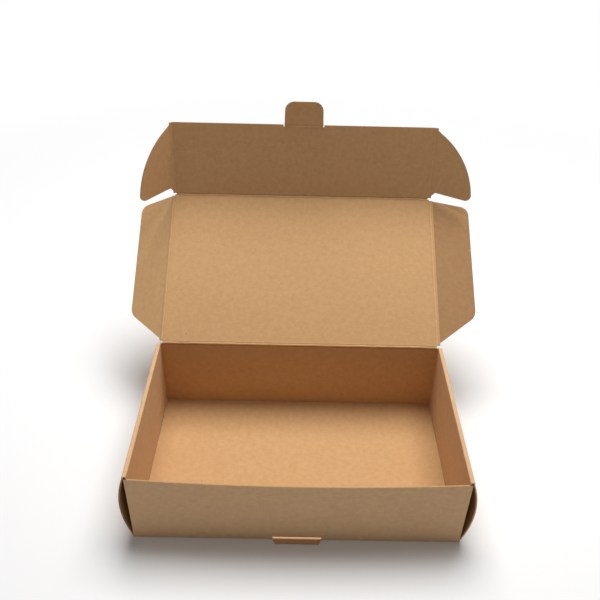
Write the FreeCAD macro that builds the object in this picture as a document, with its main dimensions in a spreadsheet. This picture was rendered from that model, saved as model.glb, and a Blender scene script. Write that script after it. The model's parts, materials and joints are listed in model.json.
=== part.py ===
import FreeCAD, Part

import math
import os

import Sketcher

# A corrugated mailer box, folded from one die-cut board and standing open.
# The origin is the middle of the tray's underside. +X is to the right, the front wall faces -Y.

doc = FreeCAD.newDocument("mailer_box")
sizes = doc.addObject("Spreadsheet::Sheet", "sizes")

# Driving dimensions in millimetres and degrees.
DRIVING = [
    ("board", 1.0, "thickness of the corrugated board"),
    ("box_length", 250.0, "tray length over the ends of its front wall"),
    ("box_depth", 150.0, "tray depth from the front wall to the rear wall"),
    ("side_height", 69.0, "height of the rolled side walls"),
    ("front_height", 66.5, "height of the front wall"),
    ("front_bow", 4.0, "how far the front wall's top edge bows out at its middle"),
    ("fold_round", 1.1, "outer radius of a folded edge of the tray"),
    ("roof_round", 0.9, "outer radius of the folds along the top of a side wall"),
    ("layer_gap", 0.2, "space between two layers of board that lie together"),
    ("side_bulge", 6.2, "how far a side wall's outer panel springs outwards"),
    ("side_end_gap", 0.4, "side wall's setback from the front and rear faces"),
    ("corner_flap_reach", 42.0, "length of a corner flap inside the side wall"),
    ("corner_flap_foot", 5.0, "height of a corner flap's lower edge"),
    ("corner_flap_drop", 9.0, "corner flap's top edge below the front wall's top"),
    ("corner_flap_cut", 7.0, "cut-off corners of a corner flap"),
    ("lock_length", 26.0, "length of a side wall's locking tongue"),
    ("lock_inset", 24.0, "locking tongue's distance from the tray's end"),
    ("lock_play", 0.4, "play round a locking tongue in its slot"),
    ("lock_short", 0.3, "locking tongue's end above the underside"),
    ("lip_width", 37.5, "width of the small lip at the foot of the front wall"),
    ("lip_end_width", 33.5, "width of the lip at its free edge"),
    ("lip_reach", 4.3, "how far the lip stands out in front"),
    ("lip_slot_play", 0.15, "play above the locking tab in its slot"),
    ("lip_slot_margin", 1.0, "slot's extra length at each end of the locking tab"),
    ("crease_gap", 0.3, "score line's width beside a rounded fold"),
    ("slide_gap", 0.3, "clearance of a flap that slides in beside another layer"),
    ("seat_gap", 0.2, "clearance of the closed lid above the side walls"),
    ("flap_end_gap", 2.2, "lid side flap's clearance from the creases at its two ends"),
    ("flap_width", 39.0, "width of a lid side flap"),
    ("flap_slant", 30.0, "length of the slanted edge beside the rear crease"),
    ("flap_front_slant", 2.8, "slope of the flap's front edge over its width"),
    ("flap_rear_round", 13.0, "radius of the flap's rear outer corner"),
    ("flap_front_round", 8.0, "radius of the flap's front outer corner"),
    ("tuck_floor_gap", 0.3, "closed tuck flap's clearance above the tray's floor"),
    ("ear_width", 39.2, "width of a tuck flap ear"),
    ("ear_crown", 7.0, "how far the ear's long outer edge bows out"),
    ("ear_drop", 5.2, "ear's upper end below the tuck flap's edge"),
    ("ear_shoulder", 5.6, "width of the slanted shoulder beside the tuck flap's corner"),
    ("ear_tip_gap", 1.3, "ear tip's clearance from the lid's crease line"),
    ("ear_tip_inset", 5.7, "ear's lowest point inside its widest point"),
    ("ear_tip_height", 5.0, "ear's widest point above its lowest point"),
    ("ear_tip_crown", 1.75, "how far the edge bows out round the ear's tip"),
    ("ear_end_gap", 1.2, "ear crease's clearance from the lid's crease line"),
    ("ear_notch_depth", 6.8, "depth of the notch between ear and lid"),
    ("ear_notch_width", 5.8, "distance of the notch's end from the ear's crease"),
    ("tab_width", 35.5, "width of the locking tab at its crease"),
    ("tab_end_width", 34.0, "width of the locking tab near its end"),
    ("tab_length", 23.0, "length of the locking tab"),
    ("tab_round", 8.5, "radius of the locking tab's corners"),
    ("tab_setback", 1.2, "tab's crease below the tuck flap's edge"),
    ("tab_slit", 0.8, "width of the slit at each end of the tab's crease"),
    ("lid_tilt", 34.0, "open lid's angle above the horizontal, leaning back"),
    ("tuck_fold", 48.0, "tuck flap's fold towards the inside"),
    ("left_flap_fold", -30.0, "left lid flap's fold, negative away from the inside"),
    ("right_flap_fold", -12.0, "right lid flap's fold, negative away from the inside"),
    ("left_ear_fold", 45.0, "left ear's fold towards the inside"),
    ("right_ear_fold", 10.0, "right ear's fold towards the inside"),
    ("tab_fold", 10.0, "locking tab's fold towards the inside"),
]
for row, (alias, amount, meaning) in enumerate(DRIVING, start=1):
    sizes.set(f"A{row}", meaning)
    sizes.set(f"B{row}", str(amount))
    sizes.setAlias(f"B{row}", alias)
doc.recompute()

# Sizes that follow from the driving ones, as expressions.
HALF_LENGTH = "(sizes.box_length / 2)"
# Face of a side wall's inner panel: it lies inside the corner flap.
INNER_FACE = f"({HALF_LENGTH} - 2 * sizes.board - sizes.layer_gap)"
# Top outer corner of a side wall: its outer panel lies outside the corner flap.
ROOF_EDGE = f"({HALF_LENGTH} + sizes.layer_gap + sizes.board)"
HINGE_BACK = "(sizes.box_depth - sizes.board / 2)"
HINGE_HEIGHT = "(sizes.side_height + sizes.seat_gap + sizes.board / 2)"
PANEL_EDGE = "(sizes.board / 2 + sizes.crease_gap)"
LID_HALF = f"({INNER_FACE} - sizes.slide_gap - sizes.board / 2)"
LID_LENGTH = f"({HINGE_BACK} - sizes.board - sizes.slide_gap - sizes.board / 2)"
EAR_HALF = f"({LID_HALF} - sizes.board - sizes.slide_gap)"
TUCK_LENGTH = f"({HINGE_HEIGHT} - sizes.board - sizes.tuck_floor_gap)"
TAB_LINE = f"({TUCK_LENGTH} - sizes.tab_setback)"
# Length of a cut, half to each side of its outline, that passes right through a board.
CUT_THROUGH = "(4 * sizes.board)"


def number(expression):
    """The value of an expression over the sheet's sizes."""
    return float(sizes.evalExpression(expression))


def arc_radius(start, end, rise):
    """Radius of the arc from start to end that rises by the given amount at its middle."""
    across = f"({end[0]} - {start[0]})"
    along = f"({end[1]} - {start[1]})"
    return f"({rise} / 2 + ({across} * {across} + {along} * {along}) / (8 * {rise}))"


def arc_centre(start, end, radius, side):
    """Centre of an arc from start to end that bulges to the left (1) or right (-1) of the way."""
    chord = end - start
    middle = (start + end) / 2
    left = FreeCAD.Vector(-chord.y, chord.x, 0).normalize()
    height = math.sqrt(max(radius**2 - (chord.Length / 2) ** 2, 0.0))
    return middle - left * (side * height)


def outline(body, name, plane, corners, arcs=None, lift=None):
    """A closed, fully constrained outline in one of the body's planes.

    Each corner is a pair of expressions. arcs gives, for the edge after a corner, a radius
    and the side that it bulges to. lift moves the outline along the plane's normal.
    """
    arcs = arcs or {}
    sketch = body.newObject("Sketcher::SketchObject", name)
    base = next(f for f in body.Origin.OriginFeatures if f.Role == plane)
    sketch.AttachmentSupport = (base, [""])
    sketch.MapMode = "FlatFace"
    if lift is not None:
        sketch.setExpression(".AttachmentOffset.Base.z", lift)
    places = [FreeCAD.Vector(number(x), number(y), 0) for x, y in corners]
    ends = []
    for index, start in enumerate(places):
        end = places[(index + 1) % len(places)]
        if index not in arcs:
            edge = sketch.addGeometry(Part.LineSegment(start, end), False)
            ends.append((edge, 1, 2))
            continue
        radius, side = arcs[index]
        centre = arc_centre(start, end, number(radius), side)
        circle = Part.Circle(centre, FreeCAD.Vector(0, 0, 1), number(radius))
        angles = [math.atan2(p.y - centre.y, p.x - centre.x) for p in (start, end)]
        if side > 0:
            angles.reverse()
        edge = sketch.addGeometry(Part.ArcOfCircle(circle, angles[0], angles[1]), False)
        ends.append((edge, 2, 1) if side > 0 else (edge, 1, 2))
        rule = sketch.addConstraint(Sketcher.Constraint("Radius", edge, number(radius)))
        sketch.renameConstraint(rule, f"radius_{index}")
        sketch.setExpression(f"Constraints.radius_{index}", radius)
    for index, (edge, first, last) in enumerate(ends):
        after, after_first, after_last = ends[(index + 1) % len(ends)]
        sketch.addConstraint(Sketcher.Constraint("Coincident", edge, last, after, after_first))
        for kind, part_of, expression in (
            ("DistanceX", places[index].x, corners[index][0]),
            ("DistanceY", places[index].y, corners[index][1]),
        ):
            rule = sketch.addConstraint(Sketcher.Constraint(kind, -1, 1, edge, first, part_of))
            sketch.renameConstraint(rule, f"{kind}_{index}")
            sketch.setExpression(f"Constraints.{kind}_{index}", expression)
    doc.recompute()
    return sketch


def rectangle(low_x, low_y, high_x, high_y):
    """Corners of an upright rectangle."""
    return [(low_x, low_y), (high_x, low_y), (high_x, high_y), (low_x, high_y)]


def pad(body, name, sketch, length, symmetric=False, backwards=False):
    """Board or fold made by padding an outline."""
    feature = body.newObject("PartDesign::Pad", name)
    feature.Profile = sketch
    feature.setExpression("Length", length)
    feature.SideType = "Symmetric" if symmetric else "One side"
    feature.Reversed = backwards
    doc.recompute()
    return feature


def pocket(body, name, sketch):
    """A cut through the board, to both sides of the outline's plane."""
    feature = body.newObject("PartDesign::Pocket", name)
    feature.Profile = sketch
    feature.setExpression("Length", CUT_THROUGH)
    feature.SideType = "Symmetric"
    doc.recompute()
    return feature


def round_edges(body, name, places, radius, along):
    """Rounds the edges that run along the given direction through each of the places."""
    base = body.Tip
    chosen = []
    for index, edge in enumerate(base.Shape.Edges, start=1):
        if edge.Curve.TypeId != "Part::GeomLine":
            continue
        if abs(abs(edge.Curve.Direction.dot(along)) - 1) > 1e-6:
            continue
        start = edge.Vertexes[0].Point
        for place in places:
            gap = start - place
            if (gap - along * gap.dot(along)).Length < 1e-3:
                chosen.append(f"Edge{index}")
    feature = body.newObject("PartDesign::Fillet", name)
    feature.Base = (base, chosen)
    feature.setExpression("Radius", radius)
    doc.recompute()
    return feature


def circle_sketch(body, name, plane, lift=None):
    """Section of a rounded fold: a circle as thick as the board, on the crease line."""
    sketch = body.newObject("Sketcher::SketchObject", name)
    base = next(f for f in body.Origin.OriginFeatures if f.Role == plane)
    sketch.AttachmentSupport = (base, [""])
    sketch.MapMode = "FlatFace"
    if lift is not None:
        sketch.setExpression(".AttachmentOffset.Base.z", lift)
    up = FreeCAD.Vector(0, 0, 1)
    edge = sketch.addGeometry(Part.Circle(FreeCAD.Vector(), up, number("sizes.board / 2")), False)
    sketch.addConstraint(Sketcher.Constraint("Coincident", edge, 3, -1, 1))
    rule = sketch.addConstraint(Sketcher.Constraint("Radius", edge, number("sizes.board / 2")))
    sketch.renameConstraint(rule, "radius")
    sketch.setExpression("Constraints.radius", "sizes.board / 2")
    doc.recompute()
    return sketch


def new_body(label):
    """An empty body for one piece of the box."""
    body = doc.addObject("PartDesign::Body", label)
    body.Label = label
    return body


def turn(axis, degrees):
    """A turn about an axis through the origin."""
    return FreeCAD.Placement(FreeCAD.Vector(), FreeCAD.Rotation(axis, degrees))


def shift(x, y, z=0.0):
    """A move without a turn."""
    return FreeCAD.Placement(FreeCAD.Vector(x, y, z), FreeCAD.Rotation())


X = FreeCAD.Vector(1, 0, 0)
Y = FreeCAD.Vector(0, 1, 0)
Z = FreeCAD.Vector(0, 0, 1)


def make_tray():
    """Floor, four walls, corner flaps, locking tongues and the front lip, folded from one board."""
    body = new_body("tray")
    back = "sizes.box_depth"
    rear_top = f"({HINGE_HEIGHT} - {PANEL_EDGE})"
    base = outline(
        body,
        "floor_and_rear_outline",
        "YZ_Plane",
        [
            ("0", "0"),
            (back, "0"),
            (back, rear_top),
            (f"{back} - sizes.board", rear_top),
            (f"{back} - sizes.board", "sizes.board"),
            ("0", "sizes.board"),
        ],
    )
    pad(body, "floor_and_rear_wall", base, "sizes.box_length", symmetric=True)
    rear_foot = [FreeCAD.Vector(0, number(back), 0)]
    round_edges(body, "rear_fold", rear_foot, "sizes.fold_round", X)
    make_front_wall(body)
    make_side_walls(body)
    make_lip(body)
    return body


def make_front_wall(body):
    """The front wall is straight at its foot and bows outwards along its free top edge."""
    left = f"-{HALF_LENGTH}"
    foot = outline(
        body,
        "front_foot_outline",
        "XY_Plane",
        rectangle(left, "0", HALF_LENGTH, "sizes.board"),
    )
    outer = [(left, "0"), (HALF_LENGTH, "0")]
    radius = arc_radius(outer[0], outer[1], "sizes.front_bow")
    top = outline(
        body,
        "front_top_outline",
        "XY_Plane",
        rectangle(left, "0", HALF_LENGTH, "sizes.board"),
        arcs={0: (radius, -1), 2: (radius, 1)},
        lift="sizes.front_height",
    )
    wall = body.newObject("PartDesign::AdditiveLoft", "front_wall")
    wall.Profile = foot
    wall.Sections = [top]
    wall.Ruled = True
    doc.recompute()


def make_side_walls(body):
    """Each side wall is rolled over: a sprung outer panel, a narrow roof and an inner panel."""
    height = "sizes.side_height"
    under_roof = f"({height} - sizes.board)"
    spring_top = f"({height} - 2 * sizes.board)"
    turn_line = f"({height} - sizes.roof_round)"
    outer_foot = (HALF_LENGTH, "sizes.board / 2")
    outer_top = (ROOF_EDGE, spring_top)
    lining_top = (f"({ROOF_EDGE} - sizes.board)", spring_top)
    lining_foot = (f"({HALF_LENGTH} - sizes.board)", "sizes.board / 2")
    roll = outline(
        body,
        "side_wall_outline",
        "XZ_Plane",
        [
            outer_foot,
            outer_top,
            (ROOF_EDGE, turn_line),
            (f"{ROOF_EDGE} - sizes.roof_round", height),
            (f"{INNER_FACE} + sizes.roof_round", height),
            (INNER_FACE, turn_line),
            (INNER_FACE, "sizes.board / 2"),
            (f"{INNER_FACE} + sizes.board", "sizes.board / 2"),
            (f"{INNER_FACE} + sizes.board", under_roof),
            (lining_top[0], under_roof),
            lining_top,
            lining_foot,
        ],
        arcs={
            0: (arc_radius(outer_foot, outer_top, "sizes.side_bulge"), -1),
            2: ("sizes.roof_round", -1),
            4: ("sizes.roof_round", -1),
            10: (arc_radius(lining_foot, lining_top, "sizes.side_bulge"), 1),
        },
        lift="-sizes.side_end_gap",
    )
    wall = pad(
        body,
        "right_side_wall",
        roll,
        "sizes.box_depth - 2 * sizes.side_end_gap",
        backwards=True,
    )
    flaps = []
    flap_top = "(sizes.front_height - sizes.corner_flap_drop)"
    for name, edge_line, free_line, inwards in (
        ("front", "sizes.board / 2", "sizes.corner_flap_reach", "-"),
        (
            "rear",
            "(sizes.box_depth - sizes.board / 2)",
            "(sizes.box_depth - sizes.corner_flap_reach)",
            "+",
        ),
    ):
        cut_line = f"{free_line} {inwards} sizes.corner_flap_cut"
        flap = outline(
            body,
            f"{name}_corner_flap_outline",
            "YZ_Plane",
            [
                (edge_line, "sizes.corner_flap_foot"),
                (cut_line, "sizes.corner_flap_foot"),
                (free_line, "sizes.corner_flap_foot + sizes.corner_flap_cut"),
                (free_line, f"{flap_top} - sizes.corner_flap_cut"),
                (cut_line, flap_top),
                (edge_line, flap_top),
            ],
            lift=f"{HALF_LENGTH} - sizes.board",
        )
        flaps.append(pad(body, f"right_{name}_corner_flap", flap, "sizes.board"))
    slots = []
    tongues = []
    for name, near in (
        ("front", "sizes.lock_inset"),
        ("rear", "(sizes.box_depth - sizes.lock_inset - sizes.lock_length)"),
    ):
        far = f"({near} + sizes.lock_length)"
        slot = outline(
            body,
            f"{name}_slot_outline",
            "XY_Plane",
            rectangle(
                f"{INNER_FACE} - sizes.lock_play",
                f"{near} - sizes.lock_play",
                f"{INNER_FACE} + sizes.board + sizes.lock_play",
                f"{far} + sizes.lock_play",
            ),
        )
        slots.append(pocket(body, f"{name}_slot", slot))
        tongue = outline(
            body,
            f"{name}_tongue_outline",
            "XY_Plane",
            rectangle(INNER_FACE, near, f"{INNER_FACE} + sizes.board", far),
            lift="sizes.lock_short",
        )
        tongues.append(pad(body, f"{name}_tongue", tongue, "2 * sizes.board"))
    mirrored = body.newObject("PartDesign::Mirrored", "left_side")
    mirrored.Originals = [wall] + flaps + slots + tongues
    mirrored.MirrorPlane = (
        next(f for f in body.Origin.OriginFeatures if f.Role == "YZ_Plane"),
        [""],
    )
    body.Tip = mirrored
    doc.recompute()


def make_lip(body):
    """The slot that takes the locking tab, and the lip that was cut out and left in the floor."""
    slot_end = "(sizes.tab_width / 2 + sizes.lip_slot_margin)"
    closed_tab_top = f"({HINGE_HEIGHT} - {TAB_LINE} + sizes.board / 2)"
    slot = outline(
        body,
        "tab_slot_outline",
        "XZ_Plane",
        rectangle(
            f"-{slot_end}",
            "sizes.board",
            slot_end,
            f"{closed_tab_top} + sizes.lip_slot_play",
        ),
    )
    pocket(body, "tab_slot", slot)
    lip = outline(
        body,
        "lip_outline",
        "XY_Plane",
        [
            ("-sizes.lip_width / 2", "sizes.board"),
            ("-sizes.lip_width / 2", "0"),
            ("-sizes.lip_end_width / 2", "-sizes.lip_reach"),
            ("sizes.lip_end_width / 2", "-sizes.lip_reach"),
            ("sizes.lip_width / 2", "0"),
            ("sizes.lip_width / 2", "sizes.board"),
        ],
    )
    pad(body, "lip", lip, "sizes.board")


def make_lid():
    """The lid panel, from its rounded rear crease to the line of the tuck flap's crease."""
    body = new_body("lid_panel")
    side = f"({LID_HALF} - {PANEL_EDGE})"
    panel = outline(
        body,
        "lid_outline",
        "XY_Plane",
        [
            (f"-{side}", "0"),
            (side, "0"),
            (side, f"{LID_LENGTH} - {PANEL_EDGE}"),
            (f"-{side}", f"{LID_LENGTH} - {PANEL_EDGE}"),
        ],
    )
    pad(body, "panel", panel, "sizes.board", symmetric=True)
    fold = circle_sketch(body, "crease_section", "YZ_Plane")
    pad(body, "crease", fold, f"2 * {side}", symmetric=True)
    return body


def make_lid_flap(label, side):
    """A lid side flap: slanted beside the rear crease and rounded at its outer corners."""
    body = new_body(label)
    rear = "sizes.flap_end_gap"
    front = f"({LID_LENGTH} - sizes.flap_end_gap)"
    outer = f"{side} * sizes.flap_width"
    slant_end = f"({rear} + sizes.flap_slant)"
    front_end = f"({front} - sizes.flap_front_slant)"
    corners = [("0", rear), (outer, slant_end), (outer, front_end), ("0", front)]
    flap = outline(body, f"{label}_outline", "XY_Plane", corners)
    pad(body, f"{label}_board", flap, "sizes.board", symmetric=True)
    fold = circle_sketch(body, f"{label}_crease_section", "XZ_Plane", lift=f"-{rear}")
    pad(body, f"{label}_crease", fold, f"{front} - {rear}", backwards=True)
    for name, along, radius in (
        ("rear", slant_end, "sizes.flap_rear_round"),
        ("front", front_end, "sizes.flap_front_round"),
    ):
        corner = FreeCAD.Vector(number(outer), number(along), 0)
        round_edges(body, f"{label}_{name}_corner", [corner], radius, Z)
    return body


def make_tuck_flap():
    """The tuck flap, with a recess in its free edge where the locking tab folds."""
    body = new_body("tuck_flap")
    side = f"({EAR_HALF} - {PANEL_EDGE})"
    recess = "(sizes.tab_width / 2 + sizes.tab_slit)"
    recess_line = f"({TAB_LINE} - {PANEL_EDGE})"
    panel = outline(
        body,
        "tuck_outline",
        "XY_Plane",
        [
            (f"-{side}", "0"),
            (side, "0"),
            (side, TUCK_LENGTH),
            (recess, TUCK_LENGTH),
            (recess, recess_line),
            (f"-{recess}", recess_line),
            (f"-{recess}", TUCK_LENGTH),
            (f"-{side}", TUCK_LENGTH),
        ],
    )
    pad(body, "panel", panel, "sizes.board", symmetric=True)
    fold = circle_sketch(body, "crease_section", "YZ_Plane")
    pad(body, "crease", fold, f"2 * {side}", symmetric=True)
    return body


def make_ear(label, side):
    """A tuck flap ear: a long curve outside, and a notch that frees it from the lid."""
    body = new_body(label)
    top = f"({TUCK_LENGTH} - sizes.ear_drop)"
    tip = (f"{side} * (sizes.ear_width - sizes.ear_tip_inset)", "sizes.ear_tip_gap")
    widest = (f"{side} * sizes.ear_width", "(sizes.ear_tip_gap + sizes.ear_tip_height)")
    shoulder = (f"{side} * sizes.ear_shoulder", top)
    crease_foot = "sizes.ear_end_gap"
    crease_top = f"({TUCK_LENGTH} - sizes.crease_gap)"
    corners = [
        ("0", crease_foot),
        (f"{side} * sizes.ear_notch_width", "sizes.ear_notch_depth"),
        tip,
        widest,
        shoulder,
        ("0", crease_top),
    ]
    ear = outline(
        body,
        f"{label}_outline",
        "XY_Plane",
        corners,
        arcs={
            2: (arc_radius(tip, widest, "sizes.ear_tip_crown"), -side),
            3: (arc_radius(widest, shoulder, "sizes.ear_crown"), -side),
        },
    )
    pad(body, f"{label}_board", ear, "sizes.board", symmetric=True)
    fold = circle_sketch(body, f"{label}_crease_section", "XZ_Plane", lift=f"-{crease_foot}")
    pad(body, f"{label}_crease", fold, f"{crease_top} - {crease_foot}", backwards=True)
    return body


def make_locking_tab():
    """The small tab on the tuck flap's edge, which locks into the slot at the front's foot."""
    body = new_body("locking_tab")
    tab = outline(
        body,
        "tab_outline",
        "XY_Plane",
        [
            ("-sizes.tab_width / 2", "0"),
            ("sizes.tab_width / 2", "0"),
            ("sizes.tab_end_width / 2", "sizes.tab_length"),
            ("-sizes.tab_end_width / 2", "sizes.tab_length"),
        ],
    )
    pad(body, "tab_board", tab, "sizes.board", symmetric=True)
    fold = circle_sketch(body, "tab_crease_section", "YZ_Plane")
    pad(body, "tab_crease", fold, "sizes.tab_width", symmetric=True)
    half_end = number("sizes.tab_end_width / 2")
    length = number("sizes.tab_length")
    corners = [FreeCAD.Vector(half_end, length, 0), FreeCAD.Vector(-half_end, length, 0)]
    round_edges(body, "tab_corners", corners, "sizes.tab_round", Z)
    return body


tray = make_tray()
lid_panel = make_lid()
lid_left_flap = make_lid_flap("lid_left_flap", -1)
lid_right_flap = make_lid_flap("lid_right_flap", 1)
tuck_flap = make_tuck_flap()
tuck_left_ear = make_ear("tuck_left_ear", -1)
tuck_right_ear = make_ear("tuck_right_ear", 1)
locking_tab = make_locking_tab()

# Each panel stands at its crease on the panel that carries it, turned by its fold.
to_tray = shift(0, -number("sizes.box_depth / 2"))
to_lid = to_tray * shift(0, number(HINGE_BACK), number(HINGE_HEIGHT))
to_lid = to_lid * turn(X, number("sizes.lid_tilt"))
to_tuck = to_lid * shift(0, number(LID_LENGTH)) * turn(X, number("sizes.tuck_fold"))
lid_side = number(LID_HALF)
ear_side = number(EAR_HALF)
tray.Placement = to_tray
lid_panel.Placement = to_lid
lid_left_flap.Placement = to_lid * shift(-lid_side, 0) * turn(Y, number("sizes.left_flap_fold"))
lid_right_flap.Placement = to_lid * shift(lid_side, 0) * turn(Y, -number("sizes.right_flap_fold"))
tuck_flap.Placement = to_tuck
tuck_left_ear.Placement = to_tuck * shift(-ear_side, 0) * turn(Y, number("sizes.left_ear_fold"))
tuck_right_ear.Placement = to_tuck * shift(ear_side, 0) * turn(Y, -number("sizes.right_ear_fold"))
locking_tab.Placement = to_tuck * shift(0, number(TAB_LINE)) * turn(X, number("sizes.tab_fold"))
doc.recompute()

for item in doc.Objects:
    if "Invalid" in item.State or "Error" in item.State:
        raise RuntimeError(f"{item.Label} failed: {item.State}")

os.makedirs("parts", exist_ok=True)
for body in (
    tray,
    lid_panel,
    lid_left_flap,
    lid_right_flap,
    tuck_flap,
    tuck_left_ear,
    tuck_right_ear,
    locking_tab,
):
    if body.Shape.isNull() or not body.Shape.isValid() or len(body.Shape.Solids) != 1:
        raise RuntimeError(f"{body.Label} isn't one valid solid")
    body.Shape.exportStep(f"parts/{body.Label}.step")
    print(f"{body.Label}: {body.Shape.Volume / 1000:.2f} cm3")
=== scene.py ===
# %% [markdown]
# # A corrugated mailer box
# The box is folded from one die-cut board: a tray with rolled side walls, a lid with side flaps,
# and a tuck flap with ears and a locking tab. Its panels are flat, so what makes it look real is
# small: the paper's fibres, the crushed fold lines, and the wavy layer that shows at a cut edge.
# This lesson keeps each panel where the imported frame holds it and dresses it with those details.

# %% Load the frame and note its box
import json
import math

import bmesh
import bpy
from mathutils import Matrix, Vector, noise

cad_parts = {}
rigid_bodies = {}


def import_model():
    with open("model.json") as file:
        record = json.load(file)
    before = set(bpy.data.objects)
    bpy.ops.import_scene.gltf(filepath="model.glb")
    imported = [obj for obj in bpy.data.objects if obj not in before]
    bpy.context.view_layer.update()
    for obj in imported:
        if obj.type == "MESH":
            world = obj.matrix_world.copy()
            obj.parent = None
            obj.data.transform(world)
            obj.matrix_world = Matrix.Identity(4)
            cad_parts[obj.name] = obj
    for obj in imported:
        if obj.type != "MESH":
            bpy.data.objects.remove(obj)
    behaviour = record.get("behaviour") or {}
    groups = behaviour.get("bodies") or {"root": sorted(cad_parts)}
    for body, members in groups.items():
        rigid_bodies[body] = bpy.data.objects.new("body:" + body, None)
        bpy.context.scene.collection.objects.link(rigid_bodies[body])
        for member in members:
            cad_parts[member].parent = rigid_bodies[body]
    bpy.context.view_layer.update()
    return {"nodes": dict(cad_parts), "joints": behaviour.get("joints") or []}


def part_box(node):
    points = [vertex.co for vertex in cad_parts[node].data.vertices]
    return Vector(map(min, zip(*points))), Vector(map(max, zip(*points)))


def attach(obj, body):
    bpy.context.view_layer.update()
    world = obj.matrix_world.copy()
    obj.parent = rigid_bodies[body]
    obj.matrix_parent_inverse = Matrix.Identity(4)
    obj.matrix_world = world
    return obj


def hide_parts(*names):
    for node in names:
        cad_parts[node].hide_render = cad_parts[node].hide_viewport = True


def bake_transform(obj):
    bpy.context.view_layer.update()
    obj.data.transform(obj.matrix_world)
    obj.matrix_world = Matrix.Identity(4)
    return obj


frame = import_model()
scene = bpy.context.scene
print("nodes", sorted(frame["nodes"]))

# %% [markdown]
# The board is 1 mm thick: two liners of stiff kraft paper with a fluted layer glued between
# them. The flutes run from the front of the sheet to its back, so the board bends more easily
# about that direction, which is how the front wall and the side walls have bowed.

# %% Name the board's sizes, in metres
MM = 1000
BOARD = 0.001
LINER = 0.00018
PAPER = 0.00012
CORE = BOARD - 2 * LINER
CREASE_GAP = 0.0003
LAYER_GAP = 0.0002
MERGE = 1e-6
print("board, mm", BOARD * MM, "of which the fluted layer takes", round(CORE * MM, 2))


# %% [markdown]
# ## Helpers
# A new piece is built in a bmesh, then becomes an object at the origin with its place in its
# mesh. Booleans do the die-cutting: the same outline that cuts the liners cuts the flutes. A
# fold's strips are made of very narrow faces, so a face's width tells a strip from a panel.

# %% Make objects and apply their modifiers
NARROW = 0.0005
SLIGHT_TURN = 6.0


def new_piece(name, bm):
    """An object at the origin that holds the bmesh."""
    mesh = bpy.data.meshes.new(name)
    bm.to_mesh(mesh)
    bm.free()
    piece = bpy.data.objects.new(name, mesh)
    scene.collection.objects.link(piece)
    return piece


def apply_modifiers(piece):
    """Leaves the evaluated mesh in the piece and no modifier on it."""
    graph = bpy.context.evaluated_depsgraph_get()
    mesh = bpy.data.meshes.new_from_object(piece.evaluated_get(graph))
    piece.modifiers.clear()
    piece.data = mesh


def cut_by(piece, tool, operation):
    """One exact boolean, after which the tool is gone."""
    cut = piece.modifiers.new("cut", "BOOLEAN")
    cut.object = tool
    cut.operation = operation
    cut.solver = "EXACT"
    apply_modifiers(piece)
    bpy.data.objects.remove(tool)


def face_width(face):
    """A face's width, taken as its area over its longest edge."""
    return face.calc_area() / max(edge.calc_length() for edge in face.edges)


def smooth_by_angle(piece, degrees):
    """Smooth shading. Edges are sharp past the angle, and where narrow faces meet wide ones."""
    bm = bmesh.new()
    bm.from_mesh(piece.data)
    narrow = {face: face_width(face) < NARROW for face in bm.faces}
    for face in bm.faces:
        face.smooth = True
    for edge in bm.edges:
        if len(edge.link_faces) != 2:
            continue
        first, second = edge.link_faces
        limit = degrees if narrow[first] == narrow[second] else SLIGHT_TURN
        edge.smooth = edge.calc_face_angle(0) < math.radians(limit)
    bm.to_mesh(piece.data)
    bm.free()


print("narrow faces are under", NARROW * MM, "mm wide")


# %% [markdown]
# ## Where each panel lies
# A panel's joint gives a point and a direction on its crease. The middle of its far half gives
# the direction outwards, and the third direction faces the inside of the closed box.

# %% Find each panel's own directions
joint_of = {joint["child"]: joint for joint in frame["joints"]}


def panel_axes(node):
    """Columns: along the crease, outwards, and to the inside. The origin is on the crease."""
    joint = joint_of[node]
    closing = Vector(joint["axis"])
    if node == "lid_panel":
        closing.negate()  # the lid's joint is positive when it opens
    root = Vector(joint["pos_m"])
    points = [vert.co - root for vert in frame["nodes"][node].data.vertices]
    points = [point - closing * point.dot(closing) for point in points]
    reach = max(point.length for point in points)
    far = [point for point in points if point.length > reach / 2]
    outward = sum(far, Vector()).normalized()
    inside = closing.cross(outward)
    axes = Matrix((closing, outward, inside)).transposed().to_4x4()
    axes.translation = root
    return axes


def panel_extents(node, axes):
    """Lowest and highest corner of a panel along its own directions."""
    to_panel = axes.inverted()
    points = [to_panel @ vert.co for vert in frame["nodes"][node].data.vertices]
    low = Vector([min(point[i] for point in points) for i in range(3)])
    high = Vector([max(point[i] for point in points) for i in range(3)])
    return low, high


for node in joint_of:
    low, high = panel_extents(node, panel_axes(node))
    print(node, "mm", [round(size * MM, 1) for size in high - low])


# %% [markdown]
# ## The fluted layer
# The wavy layer could be an array of small arches, but then each join between two of them would
# need care. One grid, a few steps to each wave, is bent into flutes and given the paper's
# thickness. It is larger than the panel, and the panel's own outline then trims it.

# %% Bend a grid into flutes
FLUTE_PITCH = 0.0024
FLUTE_STEPS = 8
WAVE = (CORE - PAPER) / 2


def flute_height(across):
    """Height of the wavy layer's middle at a distance across the flutes."""
    return WAVE * math.cos(math.tau * across / FLUTE_PITCH)


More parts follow.
